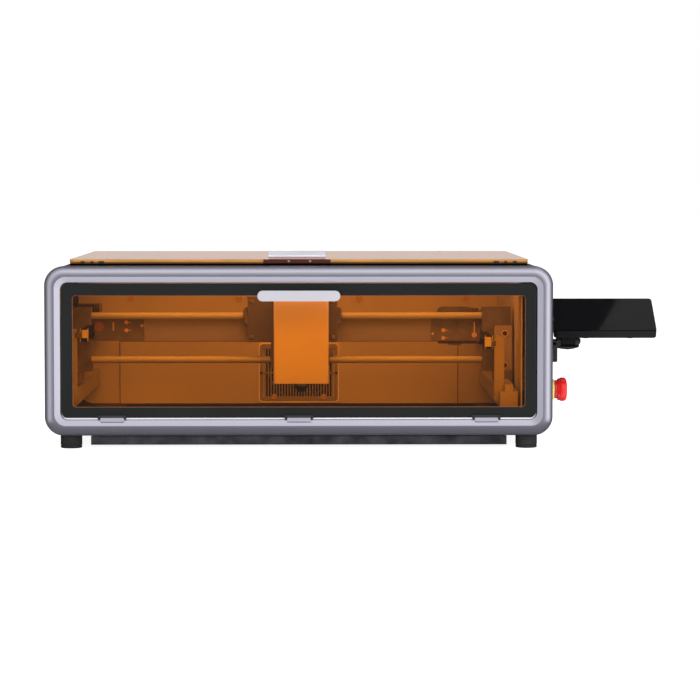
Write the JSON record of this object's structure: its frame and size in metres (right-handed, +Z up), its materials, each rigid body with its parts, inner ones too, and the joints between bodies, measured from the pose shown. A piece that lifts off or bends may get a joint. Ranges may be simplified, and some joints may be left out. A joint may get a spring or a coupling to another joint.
{
  "type": "laser engraver",
  "caption": "Enclosed desktop laser engraver with amber door and lid, belt-driven gantry, laser head, base tray, tilting display and emergency stop.",
  "frame": {"origin": "middle of the object's footprint, on the surface it stands on", "axes": "+X to the machine's right as seen from the front, towards the display; +Y to its back; +Z up"},
  "size_m": [0.6868, 0.4994, 0.2194],
  "materials": {
    "bezel_paint": "satin metallic lavender silver",
    "shell_paint": "fine textured black powder coat",
    "tray_paint": "satin dark grey",
    "inner_sheet": "satin grey",
    "rubber_foot": "matte",
    "black_plastic": "satin",
    "black_metal": "matte black anodised",
    "motor_case": "satin",
    "amber_acrylic": "clear polished amber",
    "black_gloss": "polished black",
    "light_metal": "fine satin light anodised",
    "polished_steel": "ground and polished",
    "aluminium": "machined satin",
    "belt_rubber": "matte",
    "circuit_board": "green solder mask",
    "red_plastic": "satin moulded",
    "yellow_plastic": "satin moulded",
    "lens_glass": "coated"
  },
  "bodies": {
    "case": {"front_bezel": "bezel_paint", "left_side_shell": "shell_paint", "right_side_shell": "shell_paint", "rear_panel": "shell_paint", "top_front_rail": "shell_paint", "top_rear_rail": "shell_paint", "base_frame": "shell_paint", "rear_inner_panel": "inner_sheet", "electronics_partition": "inner_sheet", "control_board": "circuit_board", "foot_front_left": "rubber_foot", "foot_rear_left": "rubber_foot", "foot_front_right": "rubber_foot", "foot_rear_right": "rubber_foot", "exhaust_grille": "black_plastic", "exhaust_fan_housing": "black_plastic", "exhaust_collar": "black_plastic", "power_inlet": "black_plastic", "y_rail_left": "aluminium", "y_motor_left": "motor_case", "y_belt_left": "belt_rubber", "y_rail_right": "aluminium", "y_motor_right": "motor_case", "y_belt_right": "belt_rubber", "estop_collar": "yellow_plastic", "display_bracket": "black_plastic"},
    "base_tray": {"base_tray": "tray_paint"},
    "front_door": {"door_frame": "black_gloss", "door_window": "amber_acrylic", "door_hinge_rail": "light_metal", "door_handle": "light_metal"},
    "top_lid": {"lid_window": "amber_acrylic", "lid_handle": "light_metal", "lid_hinge_leaf_left": "polished_steel", "lid_hinge_leaf_right": "polished_steel"},
    "gantry": {"gantry_end_left": "black_metal", "gantry_end_right": "black_metal", "gantry_beam": "aluminium", "x_rod_upper": "polished_steel", "x_rod_lower": "polished_steel", "x_motor": "motor_case", "x_belt": "belt_rubber"},
    "x_drive_pulley": {"x_pulley": "aluminium"},
    "x_idler_wheel": {"x_idler": "aluminium"},
    "carriage": {"x_carriage": "black_metal"},
    "laser_head": {"laser_heatsink": "aluminium", "laser_cover": "light_metal", "laser_nozzle": "aluminium", "laser_lens": "lens_glass"},
    "laser_fan": {"laser_fan_rotor": "black_plastic"},
    "focus_lock": {"focus_knob": "aluminium"},
    "exhaust_fan": {"exhaust_fan_rotor": "black_plastic"},
    "y_drive_pulley_left": {"y_pulley_left": "aluminium"},
    "y_drive_pulley_right": {"y_pulley_right": "aluminium"},
    "y_idler_wheel_left": {"y_idler_left": "aluminium"},
    "y_idler_wheel_right": {"y_idler_right": "aluminium"},
    "estop_plunger": {"estop_stem": "black_plastic"},
    "estop_button": {"estop_head": "red_plastic"},
    "display": {"display_housing": "black_gloss"},
    "power_switch": {"power_rocker": "black_plastic"}
  },
  "joints": [
    {"name": "tray_slide", "type": "slide", "parent": "case", "child": "base_tray", "axis": [0, -1, 0], "range_m": [0, 0.3]},
    {"name": "door_hinge", "type": "hinge", "parent": "case", "child": "front_door", "pos_m": [-0.0599, -0.24165, 0.0356], "axis": [1, 0, 0], "range_deg": [0, 90]},
    {"name": "lid_hinge", "type": "hinge", "parent": "case", "child": "top_lid", "pos_m": [-0.0599, 0.20435, 0.2055], "axis": [-1, 0, 0], "range_deg": [0, 80]},
    {"name": "gantry_y", "type": "slide", "parent": "case", "child": "gantry", "axis": [0, 1, 0], "range_m": [-0.055, 0.225]},
    {"name": "y_pulley_left_spin", "type": "hinge", "parent": "case", "child": "y_drive_pulley_left", "pos_m": [-0.3029, 0.17035, 0.124], "axis": [1, 0, 0], "continuous": true},
    {"name": "y_pulley_right_spin", "type": "hinge", "parent": "case", "child": "y_drive_pulley_right", "pos_m": [0.1551, 0.17035, 0.116], "axis": [1, 0, 0], "continuous": true},
    {"name": "y_idler_left_spin", "type": "hinge", "parent": "case", "child": "y_idler_wheel_left", "pos_m": [-0.3029, -0.18465, 0.124], "axis": [1, 0, 0], "continuous": true},
    {"name": "y_idler_right_spin", "type": "hinge", "parent": "case", "child": "y_idler_wheel_right", "pos_m": [0.1551, -0.18465, 0.116], "axis": [1, 0, 0], "continuous": true},
    {"name": "carriage_x", "type": "slide", "parent": "gantry", "child": "carriage", "axis": [1, 0, 0], "range_m": [-0.175, 0.162]},
    {"name": "x_pulley_spin", "type": "hinge", "parent": "gantry", "child": "x_drive_pulley", "pos_m": [0.1231, -0.07365, 0.129], "axis": [0, 1, 0], "continuous": true},
    {"name": "x_idler_spin", "type": "hinge", "parent": "gantry", "child": "x_idler_wheel", "pos_m": [-0.2879, -0.07365, 0.129], "axis": [0, 1, 0], "continuous": true},
    {"name": "laser_height", "type": "slide", "parent": "carriage", "child": "laser_head", "axis": [0, 0, 1], "range_m": [-0.025, 0]},
    {"name": "laser_fan_spin", "type": "hinge", "parent": "laser_head", "child": "laser_fan", "pos_m": [-0.0576, -0.14565, 0.152], "axis": [0, 0, 1], "continuous": true},
    {"name": "focus_knob_turn", "type": "hinge", "parent": "laser_head", "child": "focus_lock", "pos_m": [-0.0299, -0.11365, 0.1], "axis": [1, 0, 0], "range_deg": [0, 360]},
    {"name": "exhaust_fan_spin", "type": "hinge", "parent": "case", "child": "exhaust_fan", "pos_m": [-0.0619, 0.20535, 0.0595], "axis": [0, 1, 0], "continuous": true},
    {"name": "estop_push", "type": "slide", "parent": "case", "child": "estop_plunger", "axis": [-1, 0, 0], "range_m": [0, 0.0035], "stiffness_N_per_m": 1500},
    {"name": "estop_twist", "type": "hinge", "parent": "estop_plunger", "child": "estop_button", "pos_m": [0.2371, -0.15465, 0.0603], "axis": [1, 0, 0], "range_deg": [0, 45], "stiffness_Nm_per_rad": 0.03},
    {"name": "display_tilt", "type": "hinge", "parent": "case", "child": "display", "pos_m": [0.2441, -0.18265, 0.117], "axis": [1, 0, 0], "range_deg": [-30, 35]},
    {"name": "power_rock", "type": "hinge", "parent": "case", "child": "power_switch", "pos_m": [0.2041, 0.21935, 0.0805], "axis": [1, 0, 0], "range_deg": [0, 12]}
  ],
  "couplings": [
    {"joint": "y_pulley_left_spin", "follows": "gantry_y", "rad_per_m": -157.08},
    {"joint": "y_pulley_right_spin", "follows": "gantry_y", "rad_per_m": -157.08},
    {"joint": "y_idler_left_spin", "follows": "gantry_y", "rad_per_m": -157.08},
    {"joint": "y_idler_right_spin", "follows": "gantry_y", "rad_per_m": -157.08},
    {"joint": "x_pulley_spin", "follows": "carriage_x", "rad_per_m": 157.08},
    {"joint": "x_idler_spin", "follows": "carriage_x", "rad_per_m": 157.08}
  ]
}
